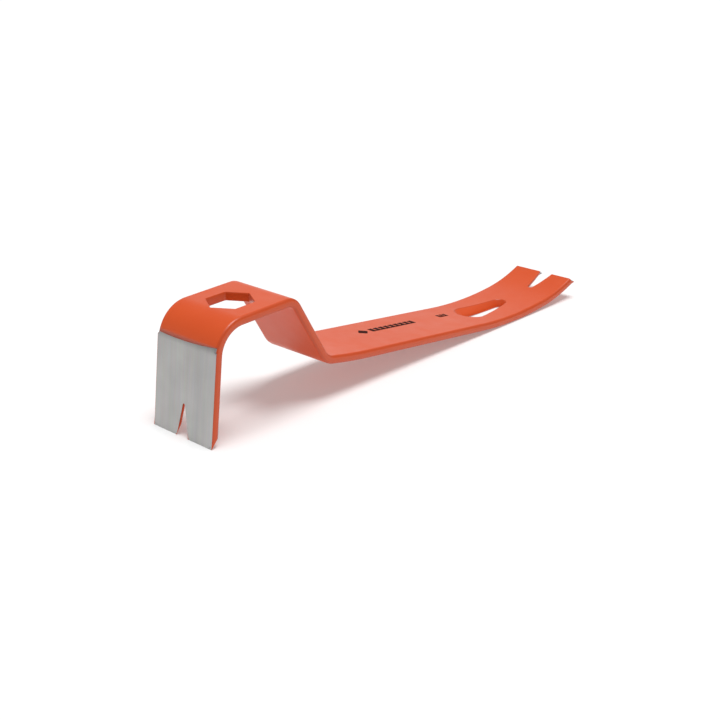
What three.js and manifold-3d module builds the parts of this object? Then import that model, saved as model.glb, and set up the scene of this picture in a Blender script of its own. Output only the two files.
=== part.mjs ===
// Flat pry bar and nail puller, bent from one strip of steel and powder coated.
//
// The ground chisel leg stands at -X, the forked claw rises at +X, and the strip's width runs along Y.
// The bar rests on the leg's sharp edge and on the belly of the handle, both at Z = 0.
// Lengths are millimetres, angles are degrees.

import * as THREE from "three";
import { mergeVertices } from "three/addons/utils/BufferGeometryUtils.js";
import Module from "manifold-3d";

const wasm = await Module();
wasm.setup();

// ---------------------------------------------------------------------------------------------
// Driving dimensions
// ---------------------------------------------------------------------------------------------

const WIDTH = 44.45; // 1-3/4 in strip
const THICKNESS = 4.76; // 3/16 in strip
const EDGE_RADIUS = 1.7; // rounding along the strip's four long edges
const EDGE_STEPS = 3;

// The outside of the strip, seen from the side and followed from the leg's sharp edge to the claw.
// A bend's radius is measured on that outside face, and a positive turn goes up.
const LEG_LEAN = 7; // the foot of the leg stands out this far from upright
const LEG_LENGTH = 46.5;
const SIDE_PATH = [
  { name: "leg", length: LEG_LENGTH },
  { name: "shoulder", radius: 19, turn: -81 },
  { name: "crest", length: 30 },
  { name: "brow", radius: 10.5, turn: -61.5 },
  { name: "slope", length: 34.83 },
  { name: "heel", radius: 9.5, turn: 47.5 },
  { name: "handle_start", radius: 320, turn: 5 },
  { name: "handle", length: 105 },
  { name: "belly", radius: 280, turn: 12.5 },
  { name: "claw", radius: 117, turn: 17.5 },
];
const BEND_STEP = 6; // facet angle on the tight bends
const SWEEP_STEP = 1.6; // facet angle on the long sweeps
const LONG_SWEEP = 100; // a radius from here up counts as a long sweep

const HEX_FLATS = 22.2; // 7/8 in wrench hole through the crest
const HEX_FROM_TIP = 84.5; // to the hole's centre, along the outside of the strip

const SLOT_MOUTH = { wide: 10.2, narrow: 4.8 }; // teardrop nail slot, as wide as this on the outside face
const SLOT_THROAT = { wide: 4, narrow: 2.6 }; // and as this where it goes right through
const SLOT_RAMP = 3.6; // its walls lean in from the one to the other over this depth
const SLOT_WIDE_FROM_CLAW = 83.2;
const SLOT_NARROW_FROM_CLAW = 53.4;

const LEG_NOTCH = { mouth: 8.6, depth: 17.5, apexRadius: 0.7, cornerRadius: 0.9 };
const CLAW_NOTCH = { mouth: 10, depth: 22.5, apexRadius: 1.7, cornerRadius: 1.4 };
const CLAW_NOTCH_Y = -2.2; // the claw's notch is cut a little to one side of the middle

const LEG_BEVEL_LENGTH = 6; // forged on the back of the leg, down to the sharp edge
const CLAW_BEVEL_LENGTH = 3; // ground on the top of both claw tips

const FILM = 0.2; // powder coat, drawn about twice as thick as baked powder is
const FILM_GAP = 0.1; // clearance between the film and the steel under it
const CLAW_OPENING = 1; // the hollow inside the film runs out this far through the ground claw tips
const GROUND_TOP = 49.5; // the bare face of the leg ends here, just inside the shoulder
const GROUND_OVERHANG = 2; // the bare face takes in both edges of the strip
const GROUND_DEPTH = 0.6; // how deep the coat is cleared around the bare face
const GROUND_CORNER = 3;

const INK_THICKNESS = 0.1;
const INK_GAP = 0.05;
const INK_LINE_Y = 5; // the printed marks share one line, behind the strip's middle
const EMBLEM = { fromTip: 209, length: 7, height: 6.4 };
const LONG_MARK = { fromTip: 234.5, strokes: 9, pitch: 4.4, stroke: 3, height: 4.2, base: 1 };
const SHORT_MARK = { fromTip: 281.5, strokes: 3, pitch: 3, stroke: 1.9, height: 3.6, base: 1 };

const OVERRUN = 10; // how far the cutters and the uncut strip run past the finished shape

// ---------------------------------------------------------------------------------------------
// Solids
// ---------------------------------------------------------------------------------------------

function toSolid(geometry) {
  const bare = geometry.index ? geometry.toNonIndexed() : geometry.clone();
  bare.deleteAttribute("normal");
  bare.deleteAttribute("uv");
  const merged = mergeVertices(bare, 1e-4);
  const mesh = new wasm.Mesh({
    numProp: 3,
    vertProperties: Float32Array.from(merged.attributes.position.array),
    triVerts: Uint32Array.from(merged.index.array),
  });
  return new wasm.Manifold(mesh);
}

function toMesh(name, solid, material) {
  const { vertProperties, triVerts } = solid.getMesh();
  const geometry = new THREE.BufferGeometry();
  geometry.setAttribute("position", new THREE.BufferAttribute(vertProperties, 3));
  geometry.setIndex(new THREE.BufferAttribute(triVerts, 1));
  geometry.computeVertexNormals();
  const mesh = new THREE.Mesh(geometry, material);
  mesh.name = name;
  return mesh;
}

// ---------------------------------------------------------------------------------------------
// The strip's path
// ---------------------------------------------------------------------------------------------

const radians = THREE.MathUtils.degToRad;

function direction(heading) {
  return new THREE.Vector2(Math.cos(heading), Math.sin(heading));
}

// Points into the strip from its outside face.
function inward(heading) {
  return new THREE.Vector2(Math.sin(heading), -Math.cos(heading));
}

// Every station has a place on the outside face, a heading and its distance from the leg's tip.
function walkPath() {
  const stations = [{ place: new THREE.Vector2(), heading: radians(90 - LEG_LEAN), distance: 0 }];
  for (const piece of SIDE_PATH) {
    const start = stations.at(-1);
    if (piece.length) {
      const place = start.place.clone().addScaledVector(direction(start.heading), piece.length);
      stations.push({ place, heading: start.heading, distance: start.distance + piece.length });
      continue;
    }
    const side = Math.sign(piece.turn);
    const facet = piece.radius < LONG_SWEEP ? BEND_STEP : SWEEP_STEP;
    const count = Math.ceil(Math.abs(piece.turn) / facet);
    const centre = start.place.clone().addScaledVector(inward(start.heading), -side * piece.radius);
    for (let i = 1; i <= count; i += 1) {
      const turned = radians(piece.turn) * (i / count);
      const heading = start.heading + turned;
      const place = centre.clone().addScaledVector(inward(heading), side * piece.radius);
      stations.push({ place, heading, distance: start.distance + piece.radius * Math.abs(turned) });
    }
  }
  return stations;
}

const stations = walkPath();
const tip = stations[0];
const clawEnd = stations.at(-1);
const DEVELOPED_LENGTH = clawEnd.distance;

// The station at any distance from the tip, found between its two neighbours.
function stationAt(distance) {
  const next = stations.findIndex((station) => station.distance >= distance);
  const after = stations[Math.max(next, 1)];
  const before = stations[Math.max(next, 1) - 1];
  const part = (distance - before.distance) / (after.distance - before.distance);
  return {
    place: before.place.clone().lerp(after.place, part),
    heading: THREE.MathUtils.lerp(before.heading, after.heading, part),
    distance,
  };
}

// A frame on the strip's outside face: X along the strip, Y across it, Z out of the face.
function frameAt(station) {
  const along = direction(station.heading);
  const out = inward(station.heading).negate();
  return new THREE.Matrix4()
    .makeBasis(
      new THREE.Vector3(along.x, 0, along.y),
      new THREE.Vector3(0, 1, 0),
      new THREE.Vector3(out.x, 0, out.y),
    )
    .setPosition(station.place.x, 0, station.place.y);
}

// ---------------------------------------------------------------------------------------------
// Cutters, each grown by the inset of the solid that it cuts
// ---------------------------------------------------------------------------------------------

// A flat outline pushed through the strip at one station, down to `depth` under the outside face.
// A half turn makes an outline drawn for the leg's end fit the claw's end.
function punch(shape, station, { depth = THICKNESS + OVERRUN, halfTurn = false } = {}) {
  const height = OVERRUN + depth;
  const geometry = new THREE.ExtrudeGeometry(shape, {
    depth: height,
    bevelEnabled: false,
    curveSegments: 10,
  });
  geometry.translate(0, 0, -depth);
  if (halfTurn) geometry.rotateZ(Math.PI);
  geometry.applyMatrix4(frameAt(station));
  return toSolid(geometry);
}

function hexCutter(inset) {
  const circumradius = (HEX_FLATS / 2 + inset) / Math.cos(Math.PI / 6);
  const shape = new THREE.Shape();
  for (let corner = 0; corner < 6; corner += 1) {
    const angle = (corner * Math.PI) / 3;
    const x = circumradius * Math.cos(angle);
    const y = circumradius * Math.sin(angle);
    if (corner === 0) shape.moveTo(x, y);
    else shape.lineTo(x, y);
  }
  return punch(shape, stationAt(HEX_FROM_TIP));
}

function slotShape({ wide, narrow }, inset) {
  const half = (SLOT_WIDE_FROM_CLAW - SLOT_NARROW_FROM_CLAW) / 2;
  const lean = Math.asin((wide - narrow) / (2 * half));
  const tangent = Math.PI / 2 - lean;
  const shape = new THREE.Shape();
  shape.absarc(half, 0, narrow + inset, -tangent, tangent, false);
  shape.absarc(-half, 0, wide + inset, tangent, 2 * Math.PI - tangent, false);
  shape.closePath();
  return shape;
}

// The throat goes right through, and the mouth's ramp is the hull round both outlines.
function slotCutter(inset) {
  const middle = stationAt(DEVELOPED_LENGTH - (SLOT_WIDE_FROM_CLAW + SLOT_NARROW_FROM_CLAW) / 2);
  const throat = slotShape(SLOT_THROAT, inset);
  const mouth = punch(slotShape(SLOT_MOUTH, inset), middle, { depth: 0 });
  const ramp = wasm.Manifold.hull([mouth, punch(throat, middle, { depth: SLOT_RAMP })]);
  return punch(throat, middle).add(ramp);
}

// A V with a round apex and rounded mouth corners, opening towards -X from the line X = 0.
function notchShape({ mouth, depth, apexRadius, cornerRadius }, inset) {
  const apex = apexRadius + inset;
  const corner = cornerRadius - inset;
  const centre = depth - apexRadius;
  const flatHalf = mouth / 2;
  const lean = Math.atan2(flatHalf, centre) - Math.asin(apexRadius / Math.hypot(centre, flatHalf));
  const half = flatHalf + inset / Math.cos(lean);
  const cornerY = half + (corner * (1 - Math.sin(lean))) / Math.cos(lean);
  const shape = new THREE.Shape();
  shape.moveTo(-OVERRUN, -cornerY);
  shape.lineTo(0, -cornerY);
  shape.absarc(corner, -cornerY, corner, Math.PI, Math.PI / 2 + lean, true);
  shape.absarc(centre, 0, apex, -(Math.PI / 2 - lean), Math.PI / 2 - lean, false);
  shape.absarc(corner, cornerY, corner, -(Math.PI / 2 + lean), -Math.PI, true);
  shape.lineTo(-OVERRUN, cornerY);
  shape.closePath();
  return shape;
}

function legNotchCutter(inset) {
  return punch(notchShape(LEG_NOTCH, inset), tip);
}

function clawNotchCutter(inset) {
  const cutter = punch(notchShape(CLAW_NOTCH, inset), clawEnd, { halfTurn: true });
  return cutter.translate([0, CLAW_NOTCH_Y, 0]);
}

// A block whose flat top lies along one line seen from the side, to take off all that is beyond it.
function planeCutter(place, heading) {
  const size = WIDTH + 2 * OVERRUN;
  const geometry = new THREE.BoxGeometry(4 * OVERRUN, size, 2 * OVERRUN);
  geometry.translate(0, 0, -OVERRUN);
  geometry.applyMatrix4(frameAt({ place, heading }));
  return toSolid(geometry);
}

// The back of the leg runs down to the sharp edge, which lies in the leg's front face.
function legBevelCutter(inset) {
  const heading = tip.heading - Math.atan2(THICKNESS, LEG_BEVEL_LENGTH);
  const place = tip.place.clone().addScaledVector(inward(heading), -inset);
  return planeCutter(place, heading);
}

// The top of the claw runs down to its sharp edge, which lies in the strip's underside.
// The grinder takes coat and steel off together, so this cut has no inset. A lift leaves more on.
function clawBevelCutter(lift) {
  const under = clawEnd.place.clone().addScaledVector(inward(clawEnd.heading), THICKNESS);
  const heading = clawEnd.heading - Math.atan2(THICKNESS, CLAW_BEVEL_LENGTH);
  const place = under.addScaledVector(inward(heading), -lift);
  return planeCutter(place, heading + Math.PI);
}

// ---------------------------------------------------------------------------------------------
// The bar, shrunk on every side by an inset
// ---------------------------------------------------------------------------------------------

function stripOutline(inset) {
  const offset = ({ place, heading }, depth, run = 0) =>
    place.clone().addScaledVector(inward(heading), depth).addScaledVector(direction(heading), run);
  const outside = stations.map((station) => offset(station, inset));
  const underside = stations.map((station) => offset(station, THICKNESS - inset)).reverse();
  return new THREE.Shape([
    offset(tip, inset, -OVERRUN),
    ...outside,
    offset(clawEnd, inset, OVERRUN),
    offset(clawEnd, THICKNESS - inset, OVERRUN),
    ...underside,
    offset(tip, THICKNESS - inset, -OVERRUN),
  ]);
}

function strip(inset) {
  const rounding = EDGE_RADIUS - inset;
  const depth = WIDTH - 2 * EDGE_RADIUS;
  const geometry = new THREE.ExtrudeGeometry(stripOutline(inset), {
    depth,
    bevelEnabled: true,
    bevelThickness: rounding,
    bevelSize: rounding,
    bevelOffset: -rounding,
    bevelSegments: EDGE_STEPS,
  });
  geometry.translate(0, 0, -depth / 2);
  geometry.rotateX(Math.PI / 2);
  return toSolid(geometry);
}

function bar(inset, clawLift = 0) {
  return strip(inset)
    .subtract(hexCutter(inset))
    .subtract(slotCutter(inset))
    .subtract(legNotchCutter(inset))
    .subtract(clawNotchCutter(inset))
    .subtract(legBevelCutter(inset))
    .subtract(clawBevelCutter(clawLift));
}

// The bare face of the leg as a shallow block, with both upper corners rounded.
function groundFace(shrink) {
  const half = WIDTH / 2 + GROUND_OVERHANG - shrink;
  const top = GROUND_TOP - shrink;
  const shape = new THREE.Shape();
  shape.moveTo(-OVERRUN, -half);
  shape.lineTo(top - GROUND_CORNER, -half);
  shape.absarc(top - GROUND_CORNER, -half + GROUND_CORNER, GROUND_CORNER, -Math.PI / 2, 0, false);
  shape.absarc(top - GROUND_CORNER, half - GROUND_CORNER, GROUND_CORNER, 0, Math.PI / 2, false);
  shape.lineTo(-OVERRUN, half);
  shape.closePath();
  return punch(shape, tip, { depth: GROUND_DEPTH - shrink });
}

// ---------------------------------------------------------------------------------------------
// Printed marks: plain blocks with no lettering
// ---------------------------------------------------------------------------------------------

function printed(shape, fromTip) {
  const geometry = new THREE.ExtrudeGeometry(shape, { depth: INK_THICKNESS, bevelEnabled: false });
  geometry.translate(0, INK_LINE_Y, INK_GAP);
  geometry.applyMatrix4(frameAt(stationAt(fromTip)));
  return toSolid(geometry);
}

function lozengeShape({ length, height }) {
  const corners = [
    [length / 2, 0],
    [0, height / 2],
    [-length / 2, 0],
    [0, -height / 2],
  ];
  return new THREE.Shape(corners.map(([x, y]) => new THREE.Vector2(x, y)));
}

// Equal upright strokes standing on one base line.
function combShape({ strokes, pitch, stroke, height, base }) {
  const start = -((strokes - 1) * pitch + stroke) / 2;
  const bottom = -height / 2;
  const shape = new THREE.Shape();
  shape.moveTo(start, bottom);
  shape.lineTo(-start, bottom);
  for (let i = strokes - 1; i >= 0; i -= 1) {
    const left = start + i * pitch;
    shape.lineTo(left + stroke, height / 2);
    shape.lineTo(left, height / 2);
    if (i > 0) {
      shape.lineTo(left, bottom + base);
      shape.lineTo(left - pitch + stroke, bottom + base);
    }
  }
  shape.closePath();
  return shape;
}

// ---------------------------------------------------------------------------------------------
// The object
// ---------------------------------------------------------------------------------------------

const steel = new THREE.MeshStandardMaterial({ color: "#b2b1af", roughness: 0.35, metalness: 1 });
const coat = new THREE.MeshStandardMaterial({ color: "#dd5a2e", roughness: 0.4, metalness: 0 });
const ink = new THREE.MeshStandardMaterial({ color: "#4a1c12", roughness: 0.6, metalness: 0 });

const finished = bar(0);
const steelBar = bar(FILM + FILM_GAP).add(finished.intersect(groundFace(FILM_GAP)));
const coatFilm = finished.subtract(bar(FILM, CLAW_OPENING)).subtract(groundFace(0));

const pryBar = new THREE.Group();
pryBar.name = "flat_pry_bar";
pryBar.add(
  toMesh("steel_bar", steelBar, steel),
  toMesh("powder_coat", coatFilm, coat),
  toMesh("printed_lozenge", printed(lozengeShape(EMBLEM), EMBLEM.fromTip), ink),
  toMesh("printed_long_mark", printed(combShape(LONG_MARK), LONG_MARK.fromTip), ink),
  toMesh("printed_short_mark", printed(combShape(SHORT_MARK), SHORT_MARK.fromTip), ink),
);

// The origin is on the floor, in the middle of the bar's length and width.
const box = new THREE.Box3().setFromObject(pryBar);
pryBar.position.x = -(box.min.x + box.max.x) / 2;
pryBar.position.z = -box.min.z;

export default pryBar;
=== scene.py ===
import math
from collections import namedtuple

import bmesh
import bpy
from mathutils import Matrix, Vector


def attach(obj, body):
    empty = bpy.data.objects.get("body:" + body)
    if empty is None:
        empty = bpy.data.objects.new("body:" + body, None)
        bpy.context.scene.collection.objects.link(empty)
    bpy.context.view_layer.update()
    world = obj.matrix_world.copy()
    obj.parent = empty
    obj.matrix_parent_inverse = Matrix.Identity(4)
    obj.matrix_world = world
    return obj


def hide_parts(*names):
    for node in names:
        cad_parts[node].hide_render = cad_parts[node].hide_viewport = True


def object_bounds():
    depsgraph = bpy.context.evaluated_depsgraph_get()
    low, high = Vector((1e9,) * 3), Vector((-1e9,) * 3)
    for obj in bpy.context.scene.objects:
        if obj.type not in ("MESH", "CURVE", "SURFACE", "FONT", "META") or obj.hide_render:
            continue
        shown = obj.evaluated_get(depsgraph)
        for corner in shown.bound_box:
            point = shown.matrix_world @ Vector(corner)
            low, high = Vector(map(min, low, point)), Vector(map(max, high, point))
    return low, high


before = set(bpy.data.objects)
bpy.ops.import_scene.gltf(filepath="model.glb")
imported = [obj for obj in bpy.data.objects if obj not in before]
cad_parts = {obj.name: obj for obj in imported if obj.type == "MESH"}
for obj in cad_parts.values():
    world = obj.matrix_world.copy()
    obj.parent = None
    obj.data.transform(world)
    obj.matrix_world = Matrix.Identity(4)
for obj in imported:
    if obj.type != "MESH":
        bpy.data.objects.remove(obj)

# Flat pry bar and nail puller, bent from one strip of steel, powder coated orange and ground bare
# at both ends.
#
# The bar is made flat, as the punched blank is before it goes to the press: X is the distance from the
# leg's sharp edge, Y runs across the strip, and -Z is the depth under the outside face, in millimetres.
# Then it is bent along the side path into its place in the frame, in metres.

CAD_LOW, CAD_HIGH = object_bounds()
MM = 0.001

# ---------------------------------------------------------------------------------------------
# Driving dimensions, in millimetres and degrees
# ---------------------------------------------------------------------------------------------

WIDTH = (CAD_HIGH.y - CAD_LOW.y) / MM
THICKNESS = 4.76
LONG_EDGE_RADIUS = 1.7  # the strip is rolled with well rounded long edges
RIM_RADIUS = 0.45  # the punch leaves the rims of the holes and notches softer once they are coated
END_RADIUS = 0.1
SUPPORT = 0.3  # rings and cuts this far from an edge keep the faces flat up to it
RIM_ANGLES = (0, 18, 36, 54, 72, 90)  # the steps round an edge, from the outside face to the wall

# The outside of the strip, seen from the side and followed from the leg's sharp edge to the claw.
# A positive turn goes up.
LEG_LEAN = 7
SIDE_PATH = (
    {"name": "leg", "length": 46.5},
    {"name": "shoulder", "radius": 19, "turn": -81},
    {"name": "crest", "length": 30},
    {"name": "brow", "radius": 10.5, "turn": -61.5},
    {"name": "slope", "length": 34.83},
    {"name": "heel", "radius": 9.5, "turn": 47.5},
    {"name": "handle_start", "radius": 320, "turn": 5},
    {"name": "handle", "length": 105},
    {"name": "belly", "radius": 280, "turn": 12.5},
    {"name": "claw", "radius": 117, "turn": 17.5},
)
BEND_STEP = 1.5  # degrees between two cuts across the strip in a bend

HEX_FLATS = 22.2  # a 7/8 in wrench hole through the crest
HEX_SIDES = 6
HEX_FROM_TIP = 84.5  # to its middle
HEX_CORNER = 0.9

SLOT_WIDE_RADIUS = 10.2  # on the outside face, where the slot is widest
SLOT_NARROW_RADIUS = 4.8
SLOT_WIDE_FROM_CLAW = 83.2  # to the middles of its two round ends
SLOT_NARROW_FROM_CLAW = 53.4
SLOT_RAMP = 3.6  # its walls lean in over this depth, the most at the wide end
SLOT_WIDE_LEAN_IN = 6.2
SLOT_NARROW_LEAN_IN = 2.2

Notch = namedtuple("Notch", "mouth depth apex_radius corner_radius")
LEG_NOTCH = Notch(mouth=8.6, depth=17.5, apex_radius=0.7, corner_radius=0.9)
CLAW_NOTCH = Notch(mouth=10, depth=22.5, apex_radius=1.7, corner_radius=1.4)
CLAW_NOTCH_Y = -2.2  # cut a little to one side of the middle
NOTCH_LAND = 1.6  # the notches open out towards the back from this depth
NOTCH_RELIEF = 3.0  # and are this much wider there on each side
RELIEF_REACH = 8.0  # the back face is drawn apart evenly over this distance
SLANT_CLEARANCE = 3.0  # the steel stands back this many insets more under the coat's slanted walls
END_CORNER = 0.8  # rounding of the strip's four outer corners, seen from above
CORNER_STEP = 12  # degrees between two points of a round corner
CORNER_LEAST_STEPS = 2

LEG_BEVEL = 5  # forged on the back of the leg, down to the sharp edge
CLAW_BEVEL = 3  # ground on top of both claw tips
SHARP_EDGE = 0.45  # what the grinder leaves of the thickness at both edges

SHARP_FROM = 30  # faces that meet at more than this many degrees show a crisp edge

COAT = 0.12  # baked powder
STEEL_INSET = 0.14  # the steel lies this far under the coat's outside
STEEL_RIM = 0.16  # the bare steel is crisp where it is ground
GROUND_TOP = 51.5  # the highest place that the grinder reached, at the -Y edge
GROUND_SQUARE = 48.5  # the leg's long front edges are crisp up to here
GROUND_EDGE = 0.25  # the grinder leaves the leg's long edges this crisp
GROUND_SAG = 1.1  # the ground line hangs lower in the middle, as a belt grinder leaves it
GROUND_SLANT = 1.7  # and it runs down this much from the -Y edge to the other
GROUND_LINE_CUTS = 24  # the leg's front is split this many ways, so that the line can sag
GROUND_SPLIT_PAST = 2  # and the splits run on this far past the line
GROUND_LINE_PAINTED_SHADE = 2.0  # painted shade: the coat is darkened brown along that line, twice as dark as on a thin edge

INK = 0.03  # thickness of the print
INK_LIFT = 0.012  # and its height over the coat
INK_LINE_Y = 5  # the marks stand in one line, off the middle of the strip
EMBLEM = {"from_tip": 209, "length": 7.8, "height": 7.4, "corner": 0.8}
LONG_MARK = {"from_tip": 234.5, "strokes": 9, "pitch": 4.4, "stroke": 3.2, "height": 5.0, "base": 1.2}
SHORT_MARK = {"from_tip": 281.5, "strokes": 3, "pitch": 3, "stroke": 2.1, "height": 4.4, "base": 1.1}
STROKE_CORNER = 0.25

MIN_RADIUS = 0.05  # what is left of a corner that an inset would take away
TINY = 1e-3  # two points closer than this are the same one

# ---------------------------------------------------------------------------------------------
# The side path
# ---------------------------------------------------------------------------------------------


def along(heading):
    return Vector((math.cos(heading), math.sin(heading)))


def inward(heading):
    """Points into the strip from its outside face."""
    return Vector((math.sin(heading), -math.cos(heading)))


def on_stretch(stretch, run):
    """Place and heading on the outside face, at a distance from the stretch's start."""
    heading = stretch["heading"]
    if "length" in stretch:
        return stretch["place"] + along(heading) * run, heading
    side = math.copysign(1, stretch["turn"])
    radius = side * stretch["radius"]
    centre = stretch["place"] - inward(heading) * radius
    turned = heading + run / radius
    return centre + inward(turned) * radius, turned


def stretch_length(stretch):
    if "length" in stretch:
        return stretch["length"]
    return stretch["radius"] * math.radians(abs(stretch["turn"]))


def lay_out(path):
    """Gives every stretch of the path its start: a place, a heading and a distance from the tip."""
    place = Vector((0, 0))
    heading = math.radians(90 - LEG_LEAN)
    start = 0
    laid = []
    for stretch in path:
        laid.append({**stretch, "place": place, "heading": heading, "start": start})
        start += stretch_length(stretch)
        place, heading = on_stretch(laid[-1], stretch_length(stretch))
    return laid, start


STRETCHES, BLANK_LENGTH = lay_out(SIDE_PATH)


def station(distance):
    """Place and heading on the outside face, at a distance from the leg's sharp edge."""
    reached = [stretch for stretch in STRETCHES if distance >= stretch["start"]]
    stretch = reached[-1] if reached else STRETCHES[0]
    return on_stretch(stretch, distance - stretch["start"])


def bend_cuts():
    """Where the strip is cut across, so that it can bend: both ends of every bend and steps between."""
    cuts = []
    for stretch in STRETCHES[1:]:
        cuts.append(stretch["start"])
        if "turn" in stretch:
            steps = math.ceil(abs(stretch["turn"]) / BEND_STEP)
            run = stretch_length(stretch) / steps
            cuts += [stretch["start"] + run * step for step in range(1, steps)]
    return cuts


def bend(mesh):
    """Takes the flat blank, in millimetres, to its place in the frame, in metres."""
    for vert in mesh.verts:
        face_place, heading = station(vert.co.x)
        spot = (face_place - inward(heading) * vert.co.z) * MM
        vert.co = (CAD_LOW.x + spot.x, vert.co.y * MM, CAD_LOW.z + spot.y)


# ---------------------------------------------------------------------------------------------
# Loops drawn in the flat blank
# ---------------------------------------------------------------------------------------------

Corner = namedtuple("Corner", "x y z radius")


def new_mesh():
    mesh = bmesh.new()
    mesh.verts.layers.float.new("edge")
    return mesh


def draw_line(mesh, last, target):
    """Draws one edge from the last vertex to the target, unless it is there already."""
    if (last.co - target).length < TINY:
        return last
    drawn = bmesh.ops.extrude_vert_indiv(mesh, verts=[last])["verts"][0]
    drawn.co = target
    return drawn


def draw_loop(mesh, corners, edge=0.0):
    """Draws one closed loop with the corners rounded off, and returns its edges."""
    before = set(mesh.edges)
    known = set(mesh.verts)
    first = last = None
    for i, corner in enumerate(corners):
        here = Vector((corner.x, corner.y, corner.z))
        flat = here.xy
        behind = corners[i - 1]
        ahead = corners[(i + 1) % len(corners)]
        entering = (flat - Vector((behind.x, behind.y))).normalized()
        leaving = (Vector((ahead.x, ahead.y)) - flat).normalized()
        turn = math.atan2(entering.cross(leaving), entering.dot(leaving))
        reach = corner.radius * math.tan(abs(turn) / 2)
        start = Vector((*(flat - entering * reach), corner.z))
        if last is None:
            first = last = mesh.verts.new(start)
        else:
            last = draw_line(mesh, last, start)
        left = Vector((-entering.y, entering.x, 0)) * math.copysign(corner.radius, turn)
        spun = bmesh.ops.spin(
            mesh,
            geom=[last],
            cent=start + left,
            axis=(0, 0, 1),
            angle=turn,
            steps=max(CORNER_LEAST_STEPS, round(math.degrees(abs(turn)) / CORNER_STEP)),
        )
        last = next(item for item in spun["geom_last"] if isinstance(item, bmesh.types.BMVert))
    if (last.co - first.co).length < TINY:
        bmesh.ops.pointmerge(mesh, verts=[first, last], merge_co=first.co)
    else:
        mesh.edges.new((last, first))
    layer = mesh.verts.layers.float["edge"]
    for vert in mesh.verts:
        if vert not in known:
            vert[layer] = edge
    return [drawn for drawn in mesh.edges if drawn not in before]


def notch_centre_and_lean(notch):
    """How deep the centre of the round apex lies, and the angle of both sides to the strip's length."""
    centre = notch.depth - notch.apex_radius
    half = notch.mouth / 2
    lean = math.atan2(half, centre) - math.asin(notch.apex_radius / math.hypot(centre, half))
    return centre, lean


def notch_corners(notch, grown, end_inset, z):
    """A V with a round apex, opening towards -X, from its +Y mouth corner to its -Y one."""
    centre, lean = notch_centre_and_lean(notch)
    mouth = notch.mouth / 2 + grown / math.cos(lean) - end_inset * math.tan(lean)
    apex = centre + (notch.apex_radius + grown) / math.sin(lean)
    corner_radius = max(notch.corner_radius - grown, MIN_RADIUS)
    return [
        Corner(end_inset, mouth, z, corner_radius),
        Corner(apex, 0, z, notch.apex_radius + grown),
        Corner(end_inset, -mouth, z, corner_radius),
    ]


Ring = namedtuple("Ring", "long_inset rim_grown end_inset long_z rim_z edge")


def outline_corners(ring):
    """The strip's own outline, counter-clockwise, with the notches in both of its ends."""
    side = WIDTH / 2 - ring.long_inset
    near = ring.end_inset
    far = BLANK_LENGTH - ring.end_inset
    leg_notch = notch_corners(LEG_NOTCH, ring.rim_grown, ring.end_inset, ring.rim_z)
    claw_notch = [
        Corner(BLANK_LENGTH - corner.x, CLAW_NOTCH_Y - corner.y, corner.z, corner.radius)
        for corner in notch_corners(CLAW_NOTCH, ring.rim_grown, ring.end_inset, ring.rim_z)
    ]
    return [
        Corner(near, -side, ring.long_z, END_CORNER),
        Corner(far, -side, ring.long_z, END_CORNER),
        *claw_notch,
        Corner(far, side, ring.long_z, END_CORNER),
        Corner(near, side, ring.long_z, END_CORNER),
        *leg_notch,
    ]


def hex_corners(ring):
    """The wrench hole in the crest, with two of its corners along the strip."""
    circumradius = (HEX_FLATS / 2 + ring.rim_grown) / math.cos(math.pi / HEX_SIDES)
    turns = [2 * math.pi * corner / HEX_SIDES for corner in range(HEX_SIDES)]
    return [
        Corner(
            HEX_FROM_TIP + circumradius * math.cos(turn),
            circumradius * math.sin(turn),
            ring.rim_z,
            HEX_CORNER + ring.rim_grown,
        )
        for turn in turns
    ]


def slot_corners(ring):
    """The teardrop nail slot: each round end is drawn as two corners that meet on its middle line."""
    wide = SLOT_WIDE_RADIUS + ring.rim_grown
    narrow = SLOT_NARROW_RADIUS + ring.rim_grown
    wide_centre = BLANK_LENGTH - SLOT_WIDE_FROM_CLAW
    narrow_centre = BLANK_LENGTH - SLOT_NARROW_FROM_CLAW
    lean = math.asin((wide - narrow) / (narrow_centre - wide_centre))
    wide_half = wide * (1 + math.sin(lean)) / math.cos(lean)
    narrow_half = narrow * (1 - math.sin(lean)) / math.cos(lean)
    return [
        Corner(wide_centre - wide, -wide_half, ring.rim_z, wide),
        Corner(narrow_centre + narrow, -narrow_half, ring.rim_z, narrow),
        Corner(narrow_centre + narrow, narrow_half, ring.rim_z, narrow),
        Corner(wide_centre - wide, wide_half, ring.rim_z, wide),
    ]


# ---------------------------------------------------------------------------------------------
# The blank
# ---------------------------------------------------------------------------------------------


def edge_rings(inset, rim_radius):
    """Rings that step round the strip's edges, from just inside the outside face to its side walls."""
    long_radius = LONG_EDGE_RADIUS - inset
    support = Ring(
        long_inset=inset + long_radius + SUPPORT,
        rim_grown=inset + rim_radius + SUPPORT,
        end_inset=END_RADIUS + SUPPORT,
        long_z=-inset,
        rim_z=-inset,
        edge=0,
    )
    rings = [support]
    for degrees in RIM_ANGLES:
        angle = math.radians(degrees)
        in_plan = 1 - math.sin(angle)
        in_depth = 1 - math.cos(angle)
        rings.append(
            Ring(
                long_inset=inset + long_radius * in_plan,
                rim_grown=inset + rim_radius * in_plan,
                end_inset=END_RADIUS * in_plan,
                long_z=-inset - long_radius * in_depth,
                rim_z=-inset - rim_radius * in_depth,
                edge=math.sin(2 * angle),
            )
        )
    return rings


def cut_across(mesh, x):
    geometry = [*mesh.verts, *mesh.edges, *mesh.faces]
    bmesh.ops.bisect_plane(mesh, geom=geometry, dist=TINY, plane_co=(x, 0, 0), plane_no=(1, 0, 0))


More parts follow.
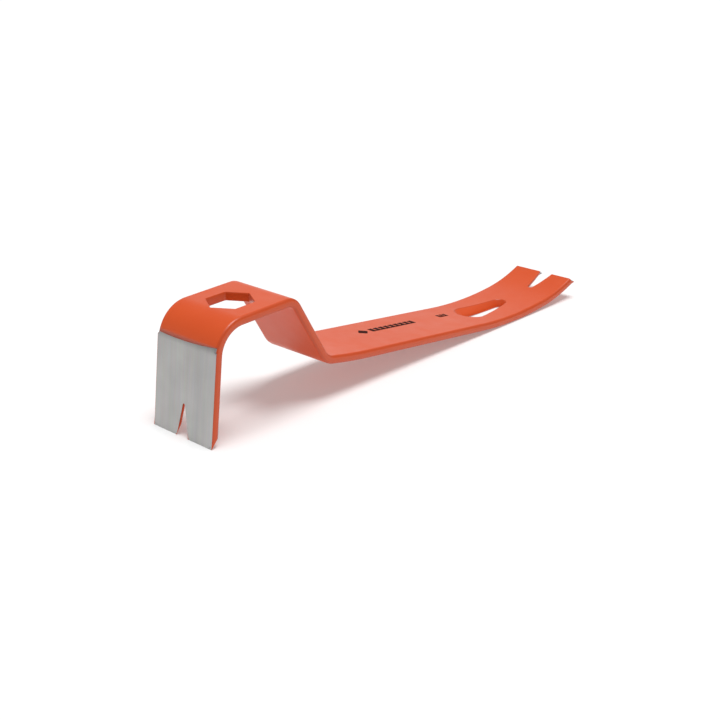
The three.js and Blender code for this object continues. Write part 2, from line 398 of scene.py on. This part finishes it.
def punch_blank(inset, rim_radius):
    """The flat blank with its hole, slot and notches, shrunk on every side by the inset.

    Its outside half is drawn down to the middle of the thickness, then mirrored for the other half."""
    mesh = new_mesh()
    outlines = (outline_corners, hex_corners, slot_corners)
    rings = [
        [draw_loop(mesh, corners(ring), ring.edge) for corners in outlines]
        for ring in edge_rings(inset, rim_radius)
    ]
    for upper, lower in zip(rings, rings[1:]):
        for upper_loop, lower_loop in zip(upper, lower):
            bmesh.ops.bridge_loops(mesh, edges=upper_loop + lower_loop)
    bmesh.ops.triangle_fill(mesh, edges=sum(rings[0], []), use_beauty=True, normal=(0, 0, 1))
    walls = bmesh.ops.extrude_edge_only(mesh, edges=sum(rings[-1], []))["geom"]
    middle = -THICKNESS / 2
    for item in walls:
        if isinstance(item, bmesh.types.BMVert):
            item.co.z = middle
    bmesh.ops.translate(mesh, verts=mesh.verts, vec=(0, 0, -middle))
    bmesh.ops.mirror(mesh, geom=[*mesh.verts, *mesh.edges, *mesh.faces], merge_dist=TINY, axis="Z")
    bmesh.ops.translate(mesh, verts=mesh.verts, vec=(0, 0, middle))
    bmesh.ops.recalc_face_normals(mesh, faces=mesh.faces)
    end_cuts = [
        LEG_BEVEL - SUPPORT,
        LEG_BEVEL + SUPPORT,
        GROUND_TOP,
        BLANK_LENGTH - CLAW_BEVEL - SUPPORT,
        BLANK_LENGTH - CLAW_BEVEL,
    ]
    for x in sorted(bend_cuts() + end_cuts):
        cut_across(mesh, x)
    return mesh


def taper_ends(mesh, inset):
    """Thins the blank down to its two sharp edges: the leg from the back, and the claw from the top."""
    full = THICKNESS - 2 * inset
    for vert in mesh.verts:
        from_tip = vert.co.x / LEG_BEVEL
        from_claw = (BLANK_LENGTH - vert.co.x) / CLAW_BEVEL
        share = max(min(from_tip, from_claw, 1), 0)
        left = (SHARP_EDGE + (THICKNESS - SHARP_EDGE) * share - 2 * inset) / full
        kept_face = -inset if from_tip < 1 else inset - THICKNESS
        vert.co.z = kept_face + (vert.co.z - kept_face) * left


Opening = namedtuple("Opening", "end_at side facing end_radius lean length other_radius")


def beside(opening, spot):
    """How far a spot is outside a tapered opening, the way straight out, and its share of the length."""
    y = spot.y - opening.side
    place = Vector(((spot.x - opening.end_at) * opening.facing, abs(y)))
    out = Vector((math.sin(opening.lean), math.cos(opening.lean)))
    run = place.dot(Vector((out.y, -out.x)))
    gap = place.dot(out) - opening.end_radius
    if run > 0:
        out = place.normalized()
        gap = place.length - opening.end_radius
    elif run < -opening.length * math.cos(opening.lean):
        place.x += opening.length
        out = place.normalized()
        gap = place.length - opening.other_radius
    share = min(max(-run / opening.length, 0), 1)
    return gap, Vector((out.x * opening.facing, math.copysign(out.y, y))), share


def notch_opening(notch, end, side, facing):
    """A notch as a tapered opening, drawn out to twice its depth so that it runs off the strip."""
    centre, lean = notch_centre_and_lean(notch)
    length = 2 * notch.depth
    return Opening(end + facing * centre, side, facing, notch.apex_radius, lean, length, other_radius=0)


def slot_opening():
    narrow_at = BLANK_LENGTH - SLOT_NARROW_FROM_CLAW
    length = SLOT_WIDE_FROM_CLAW - SLOT_NARROW_FROM_CLAW
    lean = math.asin((SLOT_WIDE_RADIUS - SLOT_NARROW_RADIUS) / length)
    return Opening(narrow_at, 0, 1, SLOT_NARROW_RADIUS, lean, length, SLOT_WIDE_RADIUS)


def slant_walls(mesh, inset):
    """The slot closes in on its way down, and both notches open out towards the back."""
    notches = (
        notch_opening(LEG_NOTCH, 0, 0, 1),
        notch_opening(CLAW_NOTCH, BLANK_LENGTH, CLAW_NOTCH_Y, -1),
    )
    slot = slot_opening()
    clearance = SLANT_CLEARANCE * inset
    for vert in mesh.verts:
        depth = -vert.co.z
        spot = vert.co.xy
        gap, out, share = beside(slot, spot)
        if gap < RELIEF_REACH:
            fading = 1 - max(gap, 0) / RELIEF_REACH
            lean_in = SLOT_NARROW_LEAN_IN + (SLOT_WIDE_LEAN_IN - SLOT_NARROW_LEAN_IN) * share - clearance
            vert.co.xy = spot - out * (lean_in * min(depth / SLOT_RAMP, 1) * fading)
        for notch in notches:
            gap, out, _ = beside(notch, spot)
            if gap < RELIEF_REACH and depth > NOTCH_LAND:
                fading = 1 - max(gap, 0) / RELIEF_REACH
                deep = (depth - NOTCH_LAND) / (THICKNESS - NOTCH_LAND)
                vert.co.xy = spot + out * ((NOTCH_RELIEF + clearance) * deep * fading)


def finish_piece(name, mesh, material, nodes):
    """Turns the mesh into an object that rides on the bar's body in place of its CAD nodes."""
    sharp_from = math.radians(SHARP_FROM)
    for face in mesh.faces:
        face.smooth = True
    for edge in mesh.edges:
        edge.smooth = edge.calc_face_angle(0) < sharp_from
    data = bpy.data.meshes.new(name)
    mesh.to_mesh(data)
    mesh.free()
    data.materials.append(material)
    piece = bpy.data.objects.new(name, data)
    bpy.context.scene.collection.objects.link(piece)
    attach(piece, "root")
    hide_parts(*nodes)
    return piece


# ---------------------------------------------------------------------------------------------
# Where the grinder has been
# ---------------------------------------------------------------------------------------------


def on_leg_front(face):
    centre = face.calc_center_median()
    return centre.z > -TINY and centre.x < GROUND_TOP + GROUND_SPLIT_PAST


def square_ground_edges(mesh, inset):
    """Takes the rounding off the leg's two long front edges, as far up as the face is ground."""
    side = WIDTH / 2 - inset
    rounding = LONG_EDGE_RADIUS - inset
    left = GROUND_EDGE / rounding
    for vert in mesh.verts:
        from_side = side - abs(vert.co.y)
        from_front = -vert.co.z - inset
        on_edge = from_side < rounding + SUPPORT + TINY and from_front < rounding + TINY
        if on_edge and vert.co.x < GROUND_SQUARE:
            vert.co.y = math.copysign(side - from_side * left, vert.co.y)
            vert.co.z = -inset - from_front * left


def ground_line(y):
    """How far up the leg the grinder went, at each place across it."""
    across = 2 * y / WIDTH
    return GROUND_SAG * (across**2 - 1) - GROUND_SLANT * (across + 1) / 2


def split_leg_front(mesh):
    """Splits the leg's flat front lengthwise, and nothing else, so that the ground line can sag."""
    for i in range(1, GROUND_LINE_CUTS):
        faces = [face for face in mesh.faces if on_leg_front(face)]
        edges = {edge for face in faces for edge in face.edges}
        verts = {vert for face in faces for vert in face.verts}
        geometry = [*verts, *edges, *faces]
        y = WIDTH * (i / GROUND_LINE_CUTS - 0.5)
        bmesh.ops.bisect_plane(mesh, geom=geometry, dist=TINY, plane_co=(0, y, 0), plane_no=(0, 1, 0))


def is_ground_bare(face):
    centre = face.calc_center_median()
    on_edges = centre.x < END_RADIUS or centre.x > BLANK_LENGTH - END_RADIUS
    on_leg = centre.x < GROUND_TOP and centre.z > -RIM_RADIUS
    on_claw = centre.x > BLANK_LENGTH - CLAW_BEVEL and centre.z > -LONG_EDGE_RADIUS
    return on_edges or on_leg or on_claw


# ---------------------------------------------------------------------------------------------
# Materials
# ---------------------------------------------------------------------------------------------


def linear(hex_colour):
    """An sRGB hex colour as linear red, green, blue and alpha."""
    shares = [int(hex_colour[i : i + 2], 16) / 255 for i in (1, 3, 5)]
    return (*(s / 12.92 if s <= 0.04045 else ((s + 0.055) / 1.055) ** 2.4 for s in shares), 1)


def add(tree, kind, inputs=None, **settings):
    """Adds a node with its settings, and sets or links its inputs."""
    node = tree.nodes.new(kind)
    for name, value in settings.items():
        setattr(node, name, value)
    for name, value in (inputs or {}).items():
        if isinstance(value, bpy.types.NodeSocket):
            tree.links.new(value, node.inputs[name])
        else:
            node.inputs[name].default_value = value
    return node


def new_material(name):
    material = bpy.data.materials.new(name)
    material.use_nodes = True
    material.node_tree.nodes.clear()
    return material, material.node_tree


MIX_A = 6  # the colour sockets of a Mix node
MIX_B = 7
MIX_RESULT = 2

BELT_MARK_STRETCH = 50  # how much longer the belt's marks are than wide


def per_metre(millimetres):
    """Texture scale of a pattern whose grain is this wide."""
    return 1 / (millimetres * MM)


def orange_powder_coat():
    """Baked polyester powder: a semi-gloss, slightly wavy skin that is darker over thin edges.

    It is darkest along the ground line, where shade is painted into its colour."""
    material, tree = new_material("orange_powder_coat")
    place = add(tree, "ShaderNodeTexCoord").outputs["Object"]
    cloud = add(tree, "ShaderNodeTexNoise", {"Vector": place, "Scale": per_metre(28), "Detail": 3.0})
    body = add(
        tree,
        "ShaderNodeMix",
        {0: cloud.outputs["Fac"], MIX_A: linear("#D44C18"), MIX_B: linear("#DB551E")},
        data_type="RGBA",
    )
    edge = add(tree, "ShaderNodeAttribute", attribute_name="edge")
    thin_coat_and_painted_shade = add(
        tree,
        "ShaderNodeMapRange",
        {"Value": edge.outputs["Fac"], "From Min": 0.3, "From Max": 2.0, "To Min": 0.0, "To Max": 0.8},
    )
    # Darkens the coat towards brown over thin edges, and as painted shade along the ground line
    colour = add(
        tree,
        "ShaderNodeMix",
        {0: thin_coat_and_painted_shade.outputs["Result"], MIX_A: body.outputs[MIX_RESULT], MIX_B: linear("#932E15")},
        data_type="RGBA",
    )
    peel = add(tree, "ShaderNodeTexNoise", {"Vector": place, "Scale": per_metre(2.4), "Detail": 1.0})
    grain = add(tree, "ShaderNodeTexNoise", {"Vector": place, "Scale": per_metre(0.6), "Detail": 2.0})
    wavy = add(
        tree,
        "ShaderNodeBump",
        {"Height": peel.outputs["Fac"], "Strength": 0.5, "Distance": 0.03 * MM},
    )
    skin = add(
        tree,
        "ShaderNodeBump",
        {
            "Height": grain.outputs["Fac"],
            "Strength": 0.4,
            "Distance": 0.006 * MM,
            "Normal": wavy.outputs["Normal"],
        },
    )
    gloss = add(tree, "ShaderNodeTexNoise", {"Vector": place, "Scale": per_metre(9), "Detail": 4.0})
    roughness = add(
        tree,
        "ShaderNodeMapRange",
        {"Value": gloss.outputs["Fac"], "From Min": 0.3, "From Max": 0.7, "To Min": 0.33, "To Max": 0.41},
    )
    shader = add(
        tree,
        "ShaderNodeBsdfPrincipled",
        {
            "Base Color": colour.outputs[MIX_RESULT],
            "Roughness": roughness.outputs["Result"],
            "Normal": skin.outputs["Normal"],
        },
    )
    add(tree, "ShaderNodeOutputMaterial", {"Surface": shader.outputs["BSDF"]})
    return material


def belt_ground_steel():
    """Carbon steel dressed on a fine belt: satin grey, with straight marks that run down to the edge."""
    material, tree = new_material("belt_ground_steel")
    place = add(tree, "ShaderNodeTexCoord").outputs["Object"]
    # The belt's marks are long and about 0.5 mm apart, which is coarser than the real grit leaves them.
    drawn_out = (1 / BELT_MARK_STRETCH, 1.0, 1 / BELT_MARK_STRETCH)
    down_the_leg = add(tree, "ShaderNodeMapping", {"Vector": place, "Scale": drawn_out})
    marks = add(
        tree,
        "ShaderNodeTexNoise",
        {
            "Vector": down_the_leg.outputs["Vector"],
            "Scale": per_metre(0.5),
            "Detail": 4.0,
            "Roughness": 0.6,
        },
    )
    passes = add(
        tree,
        "ShaderNodeTexNoise",
        {"Vector": down_the_leg.outputs["Vector"], "Scale": per_metre(5), "Detail": 3.0},
    )
    blotches = add(tree, "ShaderNodeTexNoise", {"Vector": place, "Scale": per_metre(14), "Detail": 3.0})
    tone = add(
        tree,
        "ShaderNodeMix",
        {0: passes.outputs["Fac"], MIX_A: linear("#A8A7A5"), MIX_B: linear("#BDBCBA")},
        data_type="RGBA",
    )
    colour = add(
        tree,
        "ShaderNodeMix",
        {0: 0.25, MIX_A: tone.outputs[MIX_RESULT], MIX_B: marks.outputs["Color"]},
        data_type="RGBA",
        blend_type="SOFT_LIGHT",
    )
    roughness = add(
        tree,
        "ShaderNodeMapRange",
        {
            "Value": blotches.outputs["Fac"],
            "From Min": 0.3,
            "From Max": 0.7,
            "To Min": 0.36,
            "To Max": 0.46,
        },
    )
    scratched = add(
        tree,
        "ShaderNodeBump",
        {"Height": marks.outputs["Fac"], "Strength": 0.6, "Distance": 0.012 * MM},
    )
    shader = add(
        tree,
        "ShaderNodeBsdfPrincipled",
        {
            "Base Color": colour.outputs[MIX_RESULT],
            "Metallic": 1.0,
            "Roughness": roughness.outputs["Result"],
            "Normal": scratched.outputs["Normal"],
        },
    )
    add(tree, "ShaderNodeOutputMaterial", {"Surface": shader.outputs["BSDF"]})
    return material


def brown_pad_print():
    """Pad-printed ink: a thin matt film, a little uneven where the pad lifted off."""
    material, tree = new_material("brown_pad_print")
    place = add(tree, "ShaderNodeTexCoord").outputs["Object"]
    cover = add(tree, "ShaderNodeTexNoise", {"Vector": place, "Scale": per_metre(1.5), "Detail": 3.0})
    colour = add(
        tree,
        "ShaderNodeMix",
        {0: cover.outputs["Fac"], MIX_A: linear("#2A0C06"), MIX_B: linear("#3C1309")},
        data_type="RGBA",
    )
    matt = add(
        tree,
        "ShaderNodeBump",
        {"Height": cover.outputs["Fac"], "Strength": 0.4, "Distance": 0.01 * MM},
    )
    shader = add(
        tree,
        "ShaderNodeBsdfPrincipled",
        {
            "Base Color": colour.outputs[MIX_RESULT],
            "Roughness": 0.75,
            "Specular IOR Level": 0.12,
            "Normal": matt.outputs["Normal"],
        },
    )
    add(tree, "ShaderNodeOutputMaterial", {"Surface": shader.outputs["BSDF"]})
    return material


def white_studio_floor():
    """A white floor with a faint glow of its own, so that shadows stay pale and soft."""
    material, tree = new_material("white_studio_floor")
    shader = add(
        tree,
        "ShaderNodeBsdfPrincipled",
        {
            "Base Color": linear("#DCDCDC"),
            "Roughness": 0.9,
            "Specular IOR Level": 0.1,
            "Emission Color": linear("#FFFFFF"),
            "Emission Strength": 0.22,
        },
    )
    add(tree, "ShaderNodeOutputMaterial", {"Surface": shader.outputs["BSDF"]})
    return material


# ---------------------------------------------------------------------------------------------
# The pieces
# ---------------------------------------------------------------------------------------------


def coat_piece():
    """The orange coat: the outside of the blank, cleared where it is ground bare, with a thickness."""
    mesh = punch_blank(0, RIM_RADIUS)
    split_leg_front(mesh)
    square_ground_edges(mesh, 0)
    bare = [face for face in mesh.faces if is_ground_bare(face)]
    bmesh.ops.delete(mesh, geom=bare, context="FACES")
    layer = mesh.verts.layers.float["edge"]
    for vert in mesh.verts:
        on_line = abs(vert.co.x - GROUND_TOP) < TINY
        if vert.is_boundary and on_line and vert.co.z > -LONG_EDGE_RADIUS:
            vert.co.x += ground_line(vert.co.y)
            # Painted shade: the coat's colour is darkened along the ground line
            vert[layer] = GROUND_LINE_PAINTED_SHADE
    slant_walls(mesh, 0)
    taper_ends(mesh, 0)
    bend(mesh)
    coat = orange_powder_coat()
    piece = finish_piece("powder_coat_skin", mesh, coat, ["powder_coat"])
    skin = piece.modifiers.new("skin", "SOLIDIFY")
    skin.thickness = COAT * MM
    skin.offset = -1  # grows inwards, so that the outside stays where it was drawn


def steel_piece():
    """The forged bar under the coat, whole and solid."""
    mesh = punch_blank(STEEL_INSET, STEEL_RIM)
    square_ground_edges(mesh, STEEL_INSET)
    slant_walls(mesh, STEEL_INSET)
    taper_ends(mesh, STEEL_INSET)
    bend(mesh)
    finish_piece("forged_steel_bar", mesh, belt_ground_steel(), ["steel_bar"])


def print_mark(name, outline, from_tip, material, node):
    """One printed mark: a flat outline, laid on the coat and given the ink's thickness."""
    mesh = new_mesh()
    corners = [Corner(from_tip + x, INK_LINE_Y + y, INK_LIFT, radius) for x, y, radius in outline]
    loop = draw_loop(mesh, corners)
    bmesh.ops.triangle_fill(mesh, edges=loop, use_beauty=True, normal=(0, 0, 1))
    raised = bmesh.ops.extrude_face_region(mesh, geom=mesh.faces[:])["geom"]
    raised_verts = [item for item in raised if isinstance(item, bmesh.types.BMVert)]
    bmesh.ops.translate(mesh, verts=raised_verts, vec=(0, 0, INK))
    bmesh.ops.recalc_face_normals(mesh, faces=mesh.faces)
    bend(mesh)
    finish_piece(name, mesh, material, [node])


def lozenge_outline(mark):
    half_length = mark["length"] / 2
    half_height = mark["height"] / 2
    corners = [(half_length, 0), (0, half_height), (-half_length, 0), (0, -half_height)]
    return [(x, y, mark["corner"]) for x, y in corners]


def comb_outline(mark):
    """Equal upright strokes on one base line, drawn from stroke to stroke along their tops."""
    start = -((mark["strokes"] - 1) * mark["pitch"] + mark["stroke"]) / 2
    foot = -mark["height"] / 2
    shoulder = foot + mark["base"]
    points = [(start, foot), (-start, foot)]
    for i in reversed(range(mark["strokes"])):
        left = start + i * mark["pitch"]
        points += [(left + mark["stroke"], mark["height"] / 2), (left, mark["height"] / 2)]
        if i:
            points += [(left, shoulder), (left - mark["pitch"] + mark["stroke"], shoulder)]
    return [(x, y, STROKE_CORNER) for x, y in points]


coat_piece()
steel_piece()
ink = brown_pad_print()
print_mark("lozenge_mark", lozenge_outline(EMBLEM), EMBLEM["from_tip"], ink, "printed_lozenge")
print_mark("long_mark", comb_outline(LONG_MARK), LONG_MARK["from_tip"], ink, "printed_long_mark")
print_mark("short_mark", comb_outline(SHORT_MARK), SHORT_MARK["from_tip"], ink, "printed_short_mark")

# ---------------------------------------------------------------------------------------------
# Floor, light and camera
# ---------------------------------------------------------------------------------------------

FLOOR_SIZE = 30.0
FLOOR_DROP = 0.05 * MM  # keeps the floor just clear of the bar's lowest points


def lay_floor():
    mesh = bmesh.new()
    bmesh.ops.create_grid(mesh, x_segments=1, y_segments=1, size=FLOOR_SIZE / 2)
    data = bpy.data.meshes.new("studio_floor")
    mesh.to_mesh(data)
    mesh.free()
    data.materials.append(white_studio_floor())
    floor = bpy.data.objects.new("studio_floor", data)
    floor.location.z = CAD_LOW.z - FLOOR_DROP
    bpy.context.scene.collection.objects.link(floor)


def seen_from(azimuth, elevation):
    """The way to a place round the bar, in degrees: the azimuth from -Y towards +X, and the height."""
    turn = math.radians(azimuth)
    height = math.radians(elevation)
    level = math.cos(height)
    return Vector((math.sin(turn) * level, -math.cos(turn) * level, math.sin(height)))


def aim(item, place, target):
    item.location = place
    item.rotation_mode = "QUATERNION"
    item.rotation_quaternion = (Vector(target) - Vector(place)).to_track_quat("-Z", "Y")


def hang_soft_light(name, azimuth, elevation, spread, strength):
    """A far, even light that comes from one side and height, as wide as its spread in degrees."""
    data = bpy.data.lights.new(name, "SUN")
    data.energy = strength
    data.angle = math.radians(spread)
    light = bpy.data.objects.new(name, data)
    aim(light, seen_from(azimuth, elevation), (0, 0, 0))
    bpy.context.scene.collection.objects.link(light)


def light_the_room(strength):
    """The pale walls all round, which light the bar evenly."""
    world = bpy.data.worlds.new("pale_room")
    world.use_nodes = True
    tree = world.node_tree
    tree.nodes.clear()
    glow = add(tree, "ShaderNodeBackground", {"Color": linear("#FFFFFF"), "Strength": strength})
    add(tree, "ShaderNodeOutputWorld", {"Surface": glow.outputs["Background"]})
    bpy.context.scene.world = world


CAMERA_AZIMUTH = -47.23
CAMERA_ELEVATION = 21.79
CAMERA_DISTANCE = 0.6779
CAMERA_TARGET = Vector((-27.74 * MM, 0, 3.06 * MM))
LENS = 59.3
SENSOR = 36.0


def place_camera():
    data = bpy.data.cameras.new("studio_camera")
    data.lens = LENS
    data.sensor_width = SENSOR
    camera = bpy.data.objects.new("studio_camera", data)
    back = seen_from(CAMERA_AZIMUTH, CAMERA_ELEVATION)
    aim(camera, CAMERA_TARGET + back * CAMERA_DISTANCE, CAMERA_TARGET)
    bpy.context.scene.collection.objects.link(camera)
    bpy.context.scene.camera = camera


lay_floor()
light_the_room(strength=0.3)
hang_soft_light("overhead_light", azimuth=20, elevation=84, spread=30, strength=2.7)
hang_soft_light("horizon_light", azimuth=133, elevation=14, spread=36, strength=0.12)
place_camera()
bpy.context.scene.view_settings.view_transform = "Standard"
